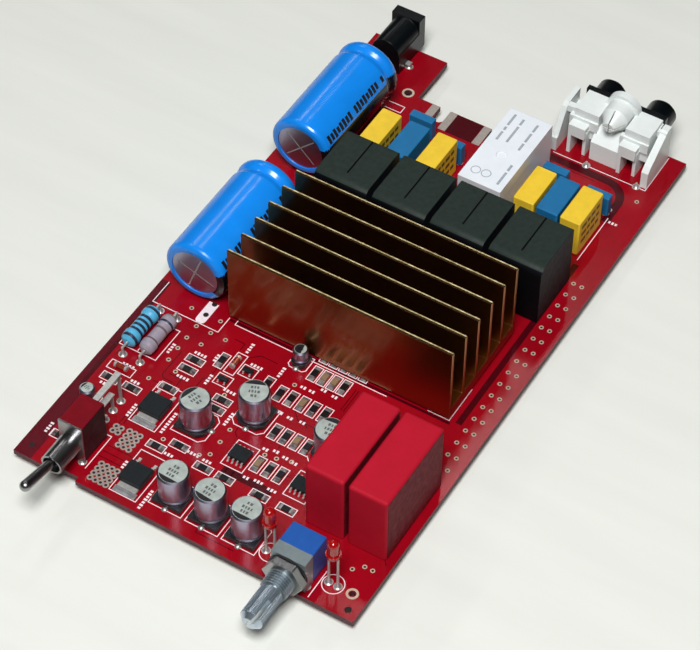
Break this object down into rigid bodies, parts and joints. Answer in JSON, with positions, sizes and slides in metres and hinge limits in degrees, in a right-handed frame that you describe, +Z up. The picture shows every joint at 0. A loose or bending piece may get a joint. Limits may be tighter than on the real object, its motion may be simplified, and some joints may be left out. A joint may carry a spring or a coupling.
{
  "type": "audio amplifier board",
  "caption": "Stereo audio amplifier circuit board with finned heatsink, lying reservoir capacitors, inductors, relay, toggle switch, volume control and rear sockets.",
  "frame": {"origin": "middle of the overall outline in plan, at the level of the soldered lead ends that the board stands on", "axes": "+X to the right seen from the controls, +Y from the front controls to the rear sockets, +Z up out of the component side"},
  "size_m": [0.098, 0.1988, 0.0298],
  "materials": {
    "red_solder_mask": "glossy",
    "solder": "satin",
    "tinned_lead": "satin",
    "gold_anodised": "polished",
    "zinc_screw": "satin",
    "black_epoxy": "matt",
    "can_aluminium": "satin",
    "blue_sleeve": "glossy",
    "black_rubber": "matt",
    "black_ferrite": "matt",
    "relay_white": "satin",
    "relay_base_black": "matt",
    "coil_copper": "satin",
    "yellow_box": "satin",
    "blue_box": "satin",
    "crimson_box": "satin",
    "base_black": "satin",
    "chip_black": "satin",
    "chip_tan": "satin",
    "diode_glass": "glossy",
    "resistor_blue": "satin",
    "resistor_grey": "satin",
    "switch_red": "satin",
    "bright_steel": "polished",
    "control_blue": "satin",
    "control_steel": "satin",
    "black_steel": "satin",
    "lamp_red": "glossy",
    "socket_black": "satin",
    "socket_white": "satin"
  },
  "bodies": {
    "board": {"circuit_board": "red_solder_mask", "solder_joints": "solder", "component_leads": "tinned_lead", "surface_mount_leads": "tinned_lead", "switch_terminals": "tinned_lead", "socket_contacts": "tinned_lead", "heatsink": "gold_anodised", "heatsink_screws": "zinc_screw", "amplifier_chip": "black_epoxy", "regulators": "black_epoxy", "op_amps": "black_epoxy", "transistors": "black_epoxy", "reservoir_can_1": "can_aluminium", "reservoir_can_2": "can_aluminium", "small_electrolytics": "can_aluminium", "electrolytic_1": "can_aluminium", "electrolytic_2": "can_aluminium", "electrolytic_3": "can_aluminium", "electrolytic_4": "can_aluminium", "electrolytic_5": "can_aluminium", "electrolytic_6": "can_aluminium", "reservoir_sleeve_1": "blue_sleeve", "reservoir_sleeve_2": "blue_sleeve", "reservoir_bungs": "black_rubber", "inductor_1": "black_ferrite", "inductor_2": "black_ferrite", "inductor_3": "black_ferrite", "inductor_4": "black_ferrite", "relay_cover": "relay_white", "relay_base": "relay_base_black", "relay_coil": "coil_copper", "yellow_film_capacitor_1": "yellow_box", "yellow_film_capacitor_2": "yellow_box", "yellow_film_capacitor_3": "yellow_box", "yellow_film_capacitor_4": "yellow_box", "blue_film_capacitor_1": "blue_box", "blue_film_capacitor_2": "blue_box", "small_film_capacitors": "blue_box", "input_capacitor_1": "crimson_box", "input_capacitor_2": "crimson_box", "electrolytic_bases": "base_black", "chip_resistors": "chip_black", "chip_capacitors": "chip_tan", "glass_diodes": "diode_glass", "blue_resistor": "resistor_blue", "grey_resistor": "resistor_grey", "switch_body": "switch_red", "switch_bracket": "bright_steel", "switch_bush": "bright_steel", "volume_nut": "bright_steel", "volume_housing": "control_blue", "volume_front": "control_steel", "volume_washer": "black_steel", "indicator_lamps": "lamp_red", "power_socket": "socket_black", "phono_barrel_1": "socket_black", "phono_barrel_2": "socket_black", "phono_housing": "socket_white"},
    "lever": {"switch_lever": "bright_steel"},
    "shaft": {"volume_shaft": "control_steel"}
  },
  "joints": [
    {"name": "lever_swing", "type": "hinge", "parent": "board", "child": "lever", "pos_m": [-0.03495, -0.0822, 0.0105], "axis": [1, 0, 0], "range_deg": [0, 26]},
    {"name": "volume_turn", "type": "hinge", "parent": "board", "child": "shaft", "pos_m": [0.0304, -0.0882, 0.0096], "axis": [0, 1, 0], "range_deg": [-150, 150]}
  ]
}
